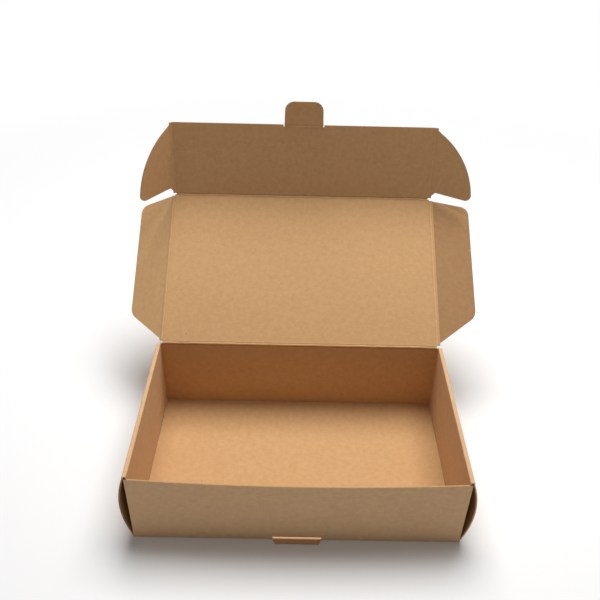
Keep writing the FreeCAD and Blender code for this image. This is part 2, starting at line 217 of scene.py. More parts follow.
def bent_sheet(name, across, along, thickness, height_at, place):
    """A closed sheet over two ranges. place turns (across, along, height) into a point."""
    bm = bmesh.new()
    steps = math.ceil((across[1] - across[0]) / FLUTE_PITCH * FLUTE_STEPS)
    bmesh.ops.create_grid(bm, x_segments=steps, y_segments=1, size=0.5)
    made = bmesh.ops.extrude_face_region(bm, geom=bm.faces[:], use_keep_orig=True)["geom"]
    lifted = [item for item in made if isinstance(item, bmesh.types.BMVert)]
    bmesh.ops.translate(bm, verts=lifted, vec=(0.0, 0.0, 1.0))
    for vert in bm.verts:
        over = across[0] + (vert.co.x + 0.5) * (across[1] - across[0])
        down = along[0] + (vert.co.y + 0.5) * (along[1] - along[0])
        height = height_at(over) + (vert.co.z - 0.5) * thickness
        vert.co = place(over, down, height)
    bmesh.ops.recalc_face_normals(bm, faces=bm.faces)
    return new_piece(name, bm)


def fluted_sheet(name, across, along, place):
    """The wavy layer over two ranges."""
    return bent_sheet(name, across, along, PAPER, flute_height, place)


print("flutes, mm", FLUTE_PITCH * MM, "apart and", round(2 * WAVE * MM, 2), "high")


# %% [markdown]
# ## Paper
# Kraft liner is long brown fibres pressed flat. Close up it is mottled, with darker fibres lying
# mostly one way and a few dark specks, and the flutes under it show as a very faint washboard.
# Each of these patterns is a node group with named inputs, built once, so that every paper can
# place it and set it for itself.

# %% Write helpers for shader nodes
VECTOR = "NodeSocketVector"
FLOAT = "NodeSocketFloat"


def node_group(name, inputs, outputs):
    """An empty shader group with named sockets, and its input and output nodes."""
    group = bpy.data.node_groups.new(name, "ShaderNodeTree")
    for label, kind, value in inputs:
        socket = group.interface.new_socket(label, in_out="INPUT", socket_type=kind)
        if value is not None:
            socket.default_value = value
    for label, kind in outputs:
        group.interface.new_socket(label, in_out="OUTPUT", socket_type=kind)
    return group, group.nodes.new("NodeGroupInput"), group.nodes.new("NodeGroupOutput")


def add_node(tree, kind, sockets=None, **properties):
    """A node with its properties set, and its sockets set by their names."""
    node = tree.nodes.new(kind)
    for key, value in properties.items():
        setattr(node, key, value)
    for label, value in (sockets or {}).items():
        node.inputs[label].default_value = value
    return node


def math_node(tree, operation, first, second=None, clamp=False):
    """A math node fed by sockets or numbers."""
    node = add_node(tree, "ShaderNodeMath", operation=operation, use_clamp=clamp)
    for index, value in enumerate((first, second)):
        if value is None:
            continue
        if isinstance(value, (int, float)):
            node.inputs[index].default_value = value
        else:
            tree.links.new(value, node.inputs[index])
    return node.outputs[0]


print("groups so far", len(bpy.data.node_groups))


# %% [markdown]
# Noise makes both the mottling and the fibres. The mottling is broad and the same in every
# direction. The fibres are finer, and a Mapping node draws them out along X, because fibres
# settle mostly one way when paper is made.

# %% Build the pressed fibres
MOTTLE_SCALE = 240.0
MOTTLE_NOISE = {"Detail": 5.0, "Roughness": 0.6}
FIBRE_SCALE = 1100.0
FIBRE_NOISE = {"Detail": 3.0, "Roughness": 0.7}
FIBRE_STRETCH = (0.22, 1.0, 1.0)


def make_fibres():
    """Mottling and long pressed fibres: two masks about 0.5."""
    group, given, result = node_group(
        "pressed fibres",
        [
            ("Vector", VECTOR, None),
            ("Mottle Scale", FLOAT, MOTTLE_SCALE),
            ("Fibre Scale", FLOAT, FIBRE_SCALE),
        ],
        [("Mottle", FLOAT), ("Fibres", FLOAT)],
    )
    links = group.links
    clouds = add_node(group, "ShaderNodeTexNoise", MOTTLE_NOISE)
    links.new(given.outputs["Vector"], clouds.inputs["Vector"])
    links.new(given.outputs["Mottle Scale"], clouds.inputs["Scale"])
    stretch = add_node(group, "ShaderNodeMapping", {"Scale": FIBRE_STRETCH})
    links.new(given.outputs["Vector"], stretch.inputs["Vector"])
    threads = add_node(group, "ShaderNodeTexNoise", FIBRE_NOISE)
    links.new(stretch.outputs["Vector"], threads.inputs["Vector"])
    links.new(given.outputs["Fibre Scale"], threads.inputs["Scale"])
    links.new(clouds.outputs["Fac"], result.inputs["Mottle"])
    links.new(threads.outputs["Fac"], result.inputs["Fibres"])
    return group


FIBRES = make_fibres()
print(FIBRES.name, "nodes", len(FIBRES.nodes))


# %% [markdown]
# The specks come from a Voronoi pattern, whose cells each have a random colour. Its red decides
# whether a cell has a speck at all and its green how large that is, so they are few and uneven.

# %% Build the dark specks
SPECK_SCALE = 90.0
SPECK_RADIUS = 0.06
SPECK_CHANCE = 0.06


def make_specks():
    """Sparse dark specks: 1 in a speck and 0 around it."""
    group, given, result = node_group(
        "dark specks",
        [
            ("Vector", VECTOR, None),
            ("Scale", FLOAT, SPECK_SCALE),
            ("Radius", FLOAT, SPECK_RADIUS),
        ],
        [("Specks", FLOAT)],
    )
    links = group.links
    cells = add_node(group, "ShaderNodeTexVoronoi", feature="F1")
    links.new(given.outputs["Vector"], cells.inputs["Vector"])
    links.new(given.outputs["Scale"], cells.inputs["Scale"])
    chance = add_node(group, "ShaderNodeSeparateColor")
    links.new(cells.outputs["Color"], chance.inputs["Color"])
    chosen = math_node(group, "LESS_THAN", chance.outputs["Red"], SPECK_CHANCE)
    size = math_node(group, "MULTIPLY", given.outputs["Radius"], chance.outputs["Green"])
    near = math_node(group, "LESS_THAN", cells.outputs["Distance"], size)
    links.new(math_node(group, "MULTIPLY", chosen, near), result.inputs["Specks"])
    return group


SPECKS = make_specks()
print(SPECKS.name, "nodes", len(SPECKS.nodes))


# %% [markdown]
# The liner sinks a little between the flutes. They run from front to back, so the ridges repeat
# across X on most panels, and up Z on the side walls, whose faces look sideways.

# %% Build the washboard
SIDEWAYS = 0.8


def make_washboard():
    """Faint ridges over the flutes: across X, or up Z on walls that face sideways."""
    group, given, result = node_group(
        "washboard",
        [("Vector", VECTOR, None), ("Normal", VECTOR, None), ("Pitch", FLOAT, FLUTE_PITCH)],
        [("Ridges", FLOAT)],
    )
    links = group.links
    place = add_node(group, "ShaderNodeSeparateXYZ")
    links.new(given.outputs["Vector"], place.inputs["Vector"])
    facing = add_node(group, "ShaderNodeSeparateXYZ")
    links.new(given.outputs["Normal"], facing.inputs["Vector"])
    sideways = math_node(group, "ABSOLUTE", facing.outputs["X"])
    sideways = math_node(group, "GREATER_THAN", sideways, SIDEWAYS)
    rise = math_node(group, "SUBTRACT", place.outputs["Z"], place.outputs["X"])
    rise = math_node(group, "MULTIPLY", rise, sideways)
    across = math_node(group, "ADD", place.outputs["X"], rise)
    turns = math_node(group, "DIVIDE", across, given.outputs["Pitch"])
    wave = math_node(group, "COSINE", math_node(group, "MULTIPLY", turns, math.tau))
    half = math_node(group, "MULTIPLY", wave, 0.5)
    links.new(math_node(group, "ADD", half, 0.5), result.inputs["Ridges"])
    return group


WASHBOARD = make_washboard()
print(WASHBOARD.name, "nodes", len(WASHBOARD.nodes))


# %% [markdown]
# A paper's colour swings between a darker and a lighter brown with the mottling and the fibres,
# specks darken it further, and the same fibres feed the bump. The finish stays matt. A crushed
# fold is rubbed along lines that noise can't follow, and gets a painted highlight on its ridge
# and painted shade beside it, so its shade comes mostly from the mesh.

# %% Write the recipe for a paper
LINER_ROUGHNESS = 0.86
ROUGHNESS_SWING = 0.08
SPECULAR = 0.25
NOISE_LOW = 0.3
NOISE_HIGH = 0.7
MOTTLE_SHARE = 0.6
FIBRE_SHARE = 0.4
RIDGE_LIFT = 1.5
SPECK_STRENGTH = 0.55
SPECK_TINT = (0.35, 0.3, 0.28)
BUMP_STRENGTH = 0.25
BUMP_DISTANCE = 0.0001
COLOUR_MIX_INPUTS = (0, 6, 7)
COLOUR_MIX_RESULT = 2


def group_node(tree, group, **values):
    """A placed group with its own input values."""
    node = add_node(tree, "ShaderNodeGroup", node_tree=group)
    for label, value in values.items():
        node.inputs[label.replace("_", " ")].default_value = value
    return node


def mix_colour(tree, factor, first, second):
    """A colour mix whose inputs are sockets, numbers or colours."""
    node = add_node(tree, "ShaderNodeMix", data_type="RGBA")
    for index, value in zip(COLOUR_MIX_INPUTS, (factor, first, second)):
        if isinstance(value, bpy.types.NodeSocket):
            tree.links.new(value, node.inputs[index])
        else:
            node.inputs[index].default_value = value
    return node.outputs[COLOUR_MIX_RESULT]


def spread(tree, value, low, high):
    """The value's part between low and high, stretched over 0 to 1."""
    node = add_node(tree, "ShaderNodeMapRange", {"From Min": low, "From Max": high})
    tree.links.new(value, node.inputs["Value"])
    return node.outputs["Result"]


def paper(name, browns, roughness=LINER_ROUGHNESS, washboard=0.0, rub_and_light=0.0):
    """Matt kraft paper between two browns. The last argument hands that share of the shade to a
    mesh attribute of wear and painted light.
    """
    dark, light = browns
    material = bpy.data.materials.new(name)
    material.use_nodes = True
    tree = material.node_tree
    links = tree.links
    shader = tree.nodes["Principled BSDF"]
    shader.inputs["Specular IOR Level"].default_value = SPECULAR
    place = add_node(tree, "ShaderNodeTexCoord")
    fibres = group_node(tree, FIBRES, Mottle_Scale=MOTTLE_SCALE, Fibre_Scale=FIBRE_SCALE)
    specks = group_node(tree, SPECKS, Scale=SPECK_SCALE, Radius=SPECK_RADIUS)
    links.new(place.outputs["Object"], fibres.inputs["Vector"])
    links.new(place.outputs["Object"], specks.inputs["Vector"])
    mottle = spread(tree, fibres.outputs["Mottle"], NOISE_LOW, NOISE_HIGH)
    threads = spread(tree, fibres.outputs["Fibres"], NOISE_LOW, NOISE_HIGH)
    broad = math_node(tree, "MULTIPLY", mottle, MOTTLE_SHARE)
    fine = math_node(tree, "MULTIPLY", threads, FIBRE_SHARE)
    shade = math_node(tree, "ADD", broad, fine)
    height = fibres.outputs["Fibres"]
    if washboard > 0:
        ridges = group_node(tree, WASHBOARD, Pitch=FLUTE_PITCH)
        links.new(place.outputs["Object"], ridges.inputs["Vector"])
        links.new(place.outputs["Normal"], ridges.inputs["Normal"])
        faint = math_node(tree, "MULTIPLY", ridges.outputs["Ridges"], washboard)
        shade = math_node(tree, "ADD", shade, faint)
        height = math_node(tree, "ADD", height, math_node(tree, "MULTIPLY", faint, RIDGE_LIFT))
    if rub_and_light > 0:
        # A mesh attribute sets this share of the shade: rubbed wear, and on folds a painted
        # highlight on the ridge and painted shade beside it.
        rubbed_and_lit = add_node(tree, "ShaderNodeAttribute", attribute_name="rub_and_light")
        quiet = math_node(tree, "MULTIPLY", math_node(tree, "SUBTRACT", shade, 0.5), 1.0 - rub_and_light)
        shade = math_node(tree, "ADD", quiet, rubbed_and_lit.outputs["Fac"], clamp=True)
    colour = mix_colour(tree, shade, (*dark, 1.0), (*light, 1.0))
    speck_amount = math_node(tree, "MULTIPLY", specks.outputs["Specks"], SPECK_STRENGTH)
    speck_colour = [part * tint for part, tint in zip(dark, SPECK_TINT)]
    colour = mix_colour(tree, speck_amount, colour, (*speck_colour, 1.0))
    links.new(colour, shader.inputs["Base Color"])
    uneven = math_node(tree, "MULTIPLY", mottle, ROUGHNESS_SWING)
    rough = math_node(tree, "ADD", uneven, roughness - ROUGHNESS_SWING / 2)
    links.new(rough, shader.inputs["Roughness"])
    relief = add_node(
        tree, "ShaderNodeBump", {"Strength": BUMP_STRENGTH, "Distance": BUMP_DISTANCE}
    )
    links.new(height, relief.inputs["Height"])
    links.new(relief.outputs["Normal"], shader.inputs["Normal"])
    return material


print("node groups", [group.name for group in bpy.data.node_groups])


# %% [markdown]
# The outer liner is a little greyer than the inner one. The photo shows the right lid flap and
# the hollows of the side walls as the darkest, so they get painted shade: a darker copy of the
# liner. The browns are linear colours, and a paper's place in the list is its faces' material
# number.

# %% Make the papers
WASHBOARD_STRENGTH = 0.05
FLUTING_ROUGHNESS = 0.92
FOLD_RUB_AND_LIGHT_SHARE = 0.75
INNER_BROWNS = ((0.51, 0.29, 0.128), (0.62, 0.37, 0.175))
FLUTING_BROWNS = ((0.36, 0.21, 0.10), (0.48, 0.29, 0.145))
OUTER_BROWNS = ((0.54, 0.33, 0.17), (0.66, 0.42, 0.235))
# Painted shade: a darker copy of the liner for the right lid flap and the side walls' hollows.
PAINTED_SHADE_BROWNS = ((0.33, 0.175, 0.075), (0.42, 0.235, 0.105))
# Fold paper spans wide browns for rubbed wear and the painted highlight and shade of creases.
FOLD_RUB_AND_LIGHT_BROWNS = ((0.36, 0.19, 0.08), (0.77, 0.47, 0.225))

PAPERS = [
    paper("inner_liner", INNER_BROWNS, washboard=WASHBOARD_STRENGTH),
    paper("fluting_paper", FLUTING_BROWNS, roughness=FLUTING_ROUGHNESS),
    paper("outer_liner", OUTER_BROWNS, washboard=WASHBOARD_STRENGTH),
    paper("painted_shade_liner", PAINTED_SHADE_BROWNS, washboard=WASHBOARD_STRENGTH),
]
INNER, CORE_PAPER, OUTER, PAINTED_SHADE = range(len(PAPERS))
FOLD_RUB_AND_LIGHT_PAPER = paper("crushed_fold_and_painted_light", FOLD_RUB_AND_LIGHT_BROWNS, rub_and_light=FOLD_RUB_AND_LIGHT_SHARE)
print("papers", [material.name for material in PAPERS], FOLD_RUB_AND_LIGHT_PAPER.name)


# %% [markdown]
# ## Dressing a flat panel
# A copy of the panel is the die-cut blank. Sliding a slab out of its middle leaves the two
# liners, joined along the crease, and the same blank trims the flutes that go between them.

# %% Write helpers that split a board
FLAT_DEGREES = 0.05
SMOOTH_DEGREES = 30


def merged(node):
    """A copy of a CAD node whose loose triangles are joined at their corners."""
    bm = bmesh.new()
    bm.from_mesh(frame["nodes"][node].data)
    bmesh.ops.remove_doubles(bm, verts=bm.verts, dist=MERGE)
    return bm


def blank(node):
    """A copy of a flat CAD panel whose triangles are joined into whole faces."""
    bm = merged(node)
    flat = math.radians(FLAT_DEGREES)
    bmesh.ops.dissolve_limit(bm, angle_limit=flat, verts=bm.verts, edges=bm.edges)
    return bm


def slab(axes, low, high):
    """A box in a panel's own directions."""
    bm = bmesh.new()
    size = high - low
    middle = (low + high) / 2
    fit = axes @ Matrix.Translation(middle) @ Matrix.Diagonal((*size, 1.0))
    bmesh.ops.create_cube(bm, size=1.0, matrix=fit)
    bmesh.ops.recalc_face_normals(bm, faces=bm.faces)
    return new_piece("slab", bm)


def join_papers(board, flute_pieces, choose):
    """Gives the board's faces the papers that choose picks, and adds the flutes."""
    board.data.materials.clear()
    for material in PAPERS:
        board.data.materials.append(material)
    bm = bmesh.new()
    bm.from_mesh(board.data)
    for face in bm.faces:
        face.material_index = choose(face)
    board_faces = len(bm.faces)
    for flutes in flute_pieces:
        bm.from_mesh(flutes.data)
        bpy.data.objects.remove(flutes)
    bm.faces.ensure_lookup_table()
    for face in bm.faces[board_faces:]:
        face.material_index = CORE_PAPER
    bm.to_mesh(board.data)
    bm.free()


def finish_piece(board, node):
    """Shades the board and lets it stand for its CAD node."""
    smooth_by_angle(board, SMOOTH_DEGREES)
    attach(board, node)
    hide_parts(node)
    print(board.name, "faces", len(board.data.polygons))


print("panels to split", len(joint_of))


# %% [markdown]
# The slab starts a little past the crease's round bead and goes out past the other edges. The
# flutes have one direction in the whole sheet, so they run along the creases of the side flaps
# and ears, and across those of the lid, the tuck flap and the tab.

# %% Split the flat panels into liners and flutes
BEAD_EDGE = 0.0006
CORE_START = BOARD / 2 + CREASE_GAP + BEAD_EDGE
ALONG_CREASE = {
    "lid_panel": False,
    "tuck_flap": False,
    "locking_tab": False,
    "lid_left_flap": True,
    "lid_right_flap": True,
    "tuck_left_ear": True,
    "tuck_right_ear": True,
}


def panel_flutes(axes, crease_range, outward_range, along_crease):
    """The fluted layer over a panel, with the flutes along its crease or outwards."""

    def crease_first(over, out, up):
        """A point of the panel."""
        return axes @ Vector((over, out, up))

    def outward_first(out, over, up):
        """The same point, given outwards first."""
        return axes @ Vector((over, out, up))

    if along_crease:
        return fluted_sheet("flutes", outward_range, crease_range, outward_first)
    return fluted_sheet("flutes", crease_range, outward_range, crease_first)


def dress_panel(node, along_crease):
    """Two liners with the fluted layer between them, in the CAD panel's outline."""
    axes = panel_axes(node)
    low, high = panel_extents(node, axes)
    crease_range = (low.x - BOARD, high.x + BOARD)
    outward_range = (CORE_START, high.y + BOARD)
    board = new_piece(f"{node}_board", blank(node))
    cutter = slab(
        axes,
        Vector((crease_range[0], outward_range[0], -CORE / 2)),
        Vector((crease_range[1], outward_range[1], CORE / 2)),
    )
    cut_by(board, cutter, "DIFFERENCE")
    flutes = panel_flutes(axes, crease_range, outward_range, along_crease)
    cut_by(flutes, new_piece("outline", blank(node)), "INTERSECT")
    to_panel = axes.inverted()
    inside = axes.col[2].to_3d()

    def choose(face):
        """The paper of the core's walls, of the outer side, or of the inner side, with painted
        shade on the right lid flap.
        """
        if abs((to_panel @ face.calc_center_median()).z) < (CORE + LINER) / 2:
            return CORE_PAPER
        if face.normal.dot(inside) < 0:
            return OUTER
        # The right lid flap's inner side gets painted shade: the darker copy of the liner.
        return PAINTED_SHADE if node == "lid_right_flap" else INNER

    join_papers(board, [flutes], choose)
    finish_piece(board, node)


for node, along_crease in ALONG_CREASE.items():
    dress_panel(node, along_crease)


# %% [markdown]
# ## The tray
# The tray's walls are folded and bowed, so a flat slab can't open their cut edges. A sheet bent
# to the wall's own curve can: as thick as the fluted layer, it cuts a groove between the liners,
# and the same curve then carries the flutes that stand in the groove.

# %% Describe the curves of the walls
HALF_LENGTH = 0.125
HALF_DEPTH = 0.075
FRONT_HEIGHT = 0.0665
FRONT_BOW = 0.004
SIDE_BULGE = 0.0062
side_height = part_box("tray")[1][2]
tray_board = new_piece("tray_board", merged("tray"))
print("tray faces", len(tray_board.data.polygons), "side walls mm", round(side_height * MM, 1))


def arc_offset(distance, length, rise):
    """How far an arc of the given chord and rise stands off its chord."""
    radius = rise / 2 + length**2 / (8 * rise)
    return math.sqrt(radius**2 - (distance - length / 2) ** 2) - (radius - rise)


def front_place(across, height, wave):
    """A point of the fluted layer in the front wall, whose bow grows from its foot to its top."""
    bow = arc_offset(across + HALF_LENGTH, 2 * HALF_LENGTH, FRONT_BOW) * height / FRONT_HEIGHT
    return Vector((across, BOARD / 2 - HALF_DEPTH - bow + wave, height))


def wall_place(start, end, rise, side):
    """Places a fluted layer on an arc from start to end, on the right (1) or left (-1)."""
    chord = end - start
    along = chord.normalized()
    outwards = Vector((along.z, 0.0, -along.x))

    def place(distance, back, wave):
        """A point of the arc, moved off it by the wave."""
        bulge = arc_offset(distance, chord.length, rise) if rise > 0 else 0.0
        point = start + along * distance + outwards * (bulge + wave)
        return Vector((side * point.x, back, point.z))

    return place


# %% [markdown]
# The front wall's top edge is cut, and so are both ends of each side wall, where the outer panel
# and the roof end. Only those edges show the flutes, so a groove 5 mm deep is enough. The sheet
# that cuts it goes past the edge by a board's thickness, so that no skin is left there.

# %% Cut the grooves and stand the flutes in them
GROOVE = 0.005
SIDE_END = 0.0746
SIDES = (-1, 1)
SIDE_FOOT = Vector((HALF_LENGTH - BOARD / 2, 0.0, BOARD / 2))
SIDE_TOP = Vector((HALF_LENGTH + LAYER_GAP + BOARD / 2, 0.0, side_height - 2 * BOARD))
ROOF_OUTER = Vector((SIDE_TOP.x, 0.0, side_height - BOARD / 2))
ROOF_INNER = Vector((HALF_LENGTH - LAYER_GAP - 2 * BOARD, 0.0, side_height - BOARD / 2))
flute_pieces = []


def open_edge(across, inner, outer, place):
    """Cuts a groove from the inner line out past the outer one, and fills it with flutes."""
    past = outer + math.copysign(BOARD, outer - inner)
    cutter = bent_sheet("groove", across, sorted((inner, past)), CORE, lambda over: 0.0, place)
    cut_by(tray_board, cutter, "DIFFERENCE")
    flute_pieces.append(fluted_sheet("edge_flutes", across, sorted((inner, outer)), place))


front_width = (BOARD - HALF_LENGTH, HALF_LENGTH - BOARD)
open_edge(front_width, FRONT_HEIGHT - GROOVE, FRONT_HEIGHT, front_place)
spans = ((SIDE_FOOT, SIDE_TOP, SIDE_BULGE), (ROOF_OUTER, ROOF_INNER, 0.0))
for side in SIDES:
    for start, end, rise in spans:
        place = wall_place(start, end, rise, side)
        for way in SIDES:
            stretch = (BOARD, (end - start).length)
            open_edge(stretch, way * (SIDE_END - GROOVE), way * SIDE_END, place)
print("edges opened", len(flute_pieces))


# %% [markdown]
# The side walls roll over and come down inside, which brings the sheet's outer side into the
# tray. So the rolled tops and the inner side panels wear the outer liner, while the floor, the
# front wall and the rear wall show the inner one. Where a face lies tells which it gets.

# %% Give the tray its papers
LIP_HALF = 0.019
LIP_TOP = 1.5 * BOARD
ROLL_FOOT = side_height - 2 * BOARD
INNER_PANEL = HALF_LENGTH - LAYER_GAP - 1.5 * BOARD
MOSTLY = 0.5


def tray_paper(face):
    """The sheet's outer side shows outside, on the rolled tops and down the inner side panels. The
    hollows of the side walls get painted shade.
    """
    middle = face.calc_center_median()
    before_front = middle.y < -HALF_DEPTH - BOARD / 2
    if before_front and middle.z < LIP_TOP and abs(middle.x) < LIP_HALF:
        return OUTER if abs(face.normal.z) > MOSTLY else CORE_PAPER
    past_panel = abs(middle.x) - INNER_PANEL
    away = face.normal.x * math.copysign(1.0, middle.x)
    between_ends = abs(middle.y) < SIDE_END - MERGE
    # Faces inside a side wall's hollow get painted shade, unless they face outwards.
    if past_panel > 0 and middle.z < ROLL_FOOT and between_ends:
        return PAINTED_SHADE if away < MOSTLY else OUTER
    if abs(past_panel) < BOARD or middle.z > ROLL_FOOT:
        return OUTER
    facing_out = face.normal.y * middle.y > 0 and abs(middle.y) > HALF_DEPTH - BOARD / 2
    return OUTER if facing_out or middle.z < BOARD / 2 else INNER


join_papers(tray_board, flute_pieces, tray_paper)
finish_piece(tray_board, "tray")


# %% [markdown]
# ## Folds that move
# A fold is scored before it is bent, which crushes the flutes and leaves a soft ridge in each
# liner. Its paper is paler along the ridge, partly rubbed wear and partly a painted highlight,
# and darker beside it, a painted shade. Both swing like a cosine across the fold, and noise
# makes them waver along it, as no real crease is even.

# %% Describe the relief of a fold
STRIP_REACH = 0.0024
BEND_REACH = BOARD / 2 + CREASE_GAP
RUB_AND_LIGHT_WAVE = 0.0026
WAVER = 0.0003
WAVER_RATE = 90
WAVER_SLICE = 0.3
WEAR = 0.9
WEAR_SWING = 0.25
WEAR_RATE = 120
WEAR_SLICE = 0.7


def smoothstep(value):
    """0 to 1 with flat ends."""
    clamped = min(1.0, max(0.0, value))
    return clamped * clamped * (3 - 2 * clamped)


def lifted_cosine(angle):
    """A cosine that runs from 0 to 1."""
    return 0.5 + 0.5 * math.cos(angle)


def strip_relief(across, along, seed):
    """Ridge height and the rubbed paleness with painted highlight and shade, about 0 to 1 and a
    little wavy, and their fading to the edges.
    """
    edge = smoothstep((STRIP_REACH - abs(across)) / (STRIP_REACH - BEND_REACH))
    shift = WAVER * noise.noise(Vector((along * WAVER_RATE, seed, WAVER_SLICE)))
    uneven = WEAR + WEAR_SWING * noise.noise(Vector((along * WEAR_RATE, seed, WEAR_SLICE)))
    ridge = lifted_cosine((across - shift) / BEND_REACH * math.pi)
    rub_and_light = lifted_cosine((across - shift) / RUB_AND_LIGHT_WAVE * math.tau)
    return ridge * uneven, rub_and_light * uneven, edge


print("a fold turns within", round(2 * BEND_REACH * MM, 2), "mm")


# %% [markdown]
# Each moving fold gets two thin strips of paper over its bead, one on each face. They are drawn
# flat and then bent about the fold, a little more at each row. The lid's and the tuck flap's
# folds show the clearest lines.

# %% Bend a strip of liner over each fold
STRIP_THICK = 0.00014
STRIP_PROUD = 0.00007
STRIP_SINK = STRIP_THICK / 5
RIDGE = 0.00012
STEP_ALONG = 0.0012
FEWEST_STEPS = 8
ROWS_ACROSS = 16
STRIP_SMOOTH_DEGREES = 50
# How strongly each fold shows its rubbed lines of painted highlight and shade.
RUB_AND_LIGHT_CLARITY = {
    "lid_panel": 1.3,
    "tuck_flap": 1.3,
    "lid_left_flap": 0.3,
    "lid_right_flap": 0.35,
    "locking_tab": 0.3,
    "tuck_left_ear": 0.12,
    "tuck_right_ear": 0.12,
}


def parent_direction(joint, axis):
    """From the fold into the panel that carries it, square to the fold."""
    if joint["parent"] == "tray":
        return Vector((0.0, 0.0, -1.0))
    points = [vert.co for vert in frame["nodes"][joint["parent"]].data.vertices]
    into = sum(points, Vector()) / len(points) - Vector(joint["pos_m"])
    return (into - axis * into.dot(axis)).normalized()


def bead_span(node, axes):
    """Where the panel's bead starts and ends along the fold."""
    to_panel = axes.inverted()
    points = [to_panel @ vert.co for vert in frame["nodes"][node].data.vertices]
    near = [point.x for point in points if abs(point.y) < BOARD / 2]
    return min(near), max(near)


def fold_strip(node):
    """Two skins of crushed liner over one fold."""
    joint = joint_of[node]
    axes = panel_axes(node)
    closing = axes.col[0].to_3d()
    outward = axes.col[1].to_3d()
    root = axes.translation
    start = -parent_direction(joint, closing)
    inside = closing.cross(start)
    fold = math.atan2(start.cross(outward).dot(closing), start.dot(outward))
    low, high = bead_span(node, axes)
    steps = max(FEWEST_STEPS, round((high - low) / STEP_ALONG))
    bm = bmesh.new()
    rub_and_light_of = bm.verts.layers.float.new("rub_and_light")
    for face_side in (1, -1):
        seed = face_side * (1 + len(node))
        skin = bmesh.ops.create_grid(bm, x_segments=steps, y_segments=ROWS_ACROSS, size=0.5)
        for vert in skin["verts"]:
            along = low + (vert.co.x + 0.5) * (high - low)
            across = 2 * STRIP_REACH * vert.co.y
            ridge, rub_and_light, edge = strip_relief(across, along, seed)
            # Paler on the ridge and darker beside it: rubbed wear with a painted highlight and
            # painted shade.
            vert[rub_and_light_of] = 0.5 + RUB_AND_LIGHT_CLARITY[node] * (rub_and_light - 0.5) * edge
            height = BOARD / 2 + (STRIP_PROUD + RIDGE * ridge) * edge - STRIP_SINK
            flat = start * across + inside * height * face_side
            bend = smoothstep((across / BEND_REACH + 1) / 2) * fold
            vert.co = root + closing * along + Matrix.Rotation(bend, 3, closing) @ flat
        faces = list({face for vert in skin["verts"] for face in vert.link_faces})
        if face_side > 0:
            bmesh.ops.reverse_faces(bm, faces=faces)
        bmesh.ops.solidify(bm, geom=faces, thickness=STRIP_THICK)
    bmesh.ops.recalc_face_normals(bm, faces=bm.faces)
    strip = new_piece(f"{joint['name']}_paper", bm)
    strip.data.materials.append(FOLD_RUB_AND_LIGHT_PAPER)
    smooth_by_angle(strip, STRIP_SMOOTH_DEGREES)
    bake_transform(strip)
    print(strip.name, "fold", round(math.degrees(fold)), "faces", len(strip.data.polygons))


for node in joint_of:
    fold_strip(node)


# %% [markdown]
# ## Small marks
# The right lid flap's outer edge has a small tear, where the liner's paler fibres show, and four
# dark flecks lie in the liner of the lid and of the tray's floor. Each mark is a thin ragged
# sliver that lies on its panel, so it stays with the panel when that moves.

# %% Write the recipe for a mark
MARK_THICK = 0.00006
MARK_WIDTH = 0.0006
MARK_COLUMNS = 3
MARK_ROWS = 8
TEAR_TAPER = 0.7
FLECK_END = 0.1
RAGGED = 0.25
RAGGED_RATE = 7
RAGGED_SPREAD = 900
RAGGED_SLICE = 0.1
FLECK_BROWNS = ((0.05, 0.028, 0.014), (0.10, 0.055, 0.028))
FLECK_PAPER = paper("dark_fleck", FLECK_BROWNS)


def mark_width(share, tear):
    """A mark's width along its length: a tear widens outwards, and a fleck has two thin ends."""
    if tear:
        return 1.0 - TEAR_TAPER * (1.0 - share)
    return math.sin(math.pi * (FLECK_END + (1.0 - 2 * FLECK_END) * share))


def mark(name, node, axes, place, length, tear=False):
    """A sliver on a panel's inside, from a place on it, along the panel's outward direction."""
    over, out = place
    bm = bmesh.new()
    bmesh.ops.create_grid(bm, x_segments=MARK_COLUMNS, y_segments=MARK_ROWS, size=0.5)
    rub_and_light_of = bm.verts.layers.float.new("rub_and_light")
    for vert in bm.verts:
        share = vert.co.y + 0.5
        spot = Vector((share * RAGGED_RATE, over * RAGGED_SPREAD, RAGGED_SLICE))
        aside = vert.co.x * mark_width(share, tear) + RAGGED * noise.noise(spot)
        vert[rub_and_light_of] = 1.0 if tear else 0.0
        vert.co = axes @ Vector((over + MARK_WIDTH * aside, out + length * share, 0.0))
    made = bmesh.ops.extrude_face_region(bm, geom=bm.faces[:], use_keep_orig=True)["geom"]
    lifted = [item for item in made if isinstance(item, bmesh.types.BMVert)]
    bmesh.ops.translate(bm, verts=lifted, vec=axes.col[2].to_3d() * MARK_THICK)
    bmesh.ops.recalc_face_normals(bm, faces=bm.faces)
    piece = new_piece(name, bm)
    piece.data.materials.append(FOLD_RUB_AND_LIGHT_PAPER if tear else FLECK_PAPER)
    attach(piece, node)
    print(name, "faces", len(piece.data.polygons))


# %% [markdown]
# The marks' places were read off the photo and worked back onto the panels. Each is given along
# the panel's crease, out from it, and by its length.

# %% Lay the marks on the panels
TEAR_ALONG = -0.09845
TEAR_LENGTH = 0.0034
LID_FLECKS = {
    "low": (-0.1010, 0.0080, 0.0011),
    "high": (-0.0972, 0.1119, 0.0008),
    "middle": (0.0378, 0.1006, 0.0008),
}
FLOOR_FLECK = (-0.0796, -0.0219, 0.0009)

on_face = Matrix.Translation((0.0, 0.0, BOARD / 2))
on_floor = Matrix.Translation((0.0, 0.0, BOARD))
flap_axes = panel_axes("lid_right_flap")
lid_axes = panel_axes("lid_panel")
tear_start = panel_extents("lid_right_flap", flap_axes)[1].y - TEAR_LENGTH
tear_place = (TEAR_ALONG, tear_start)
mark("flap_tear", "lid_right_flap", flap_axes @ on_face, tear_place, TEAR_LENGTH, tear=True)
for spot, (over, out, length) in LID_FLECKS.items():
    mark(f"lid_fleck_{spot}", "lid_panel", lid_axes @ on_face, (over, out), length)
over, out, length = FLOOR_FLECK
mark("floor_fleck", "tray", on_floor, (over, out), length)


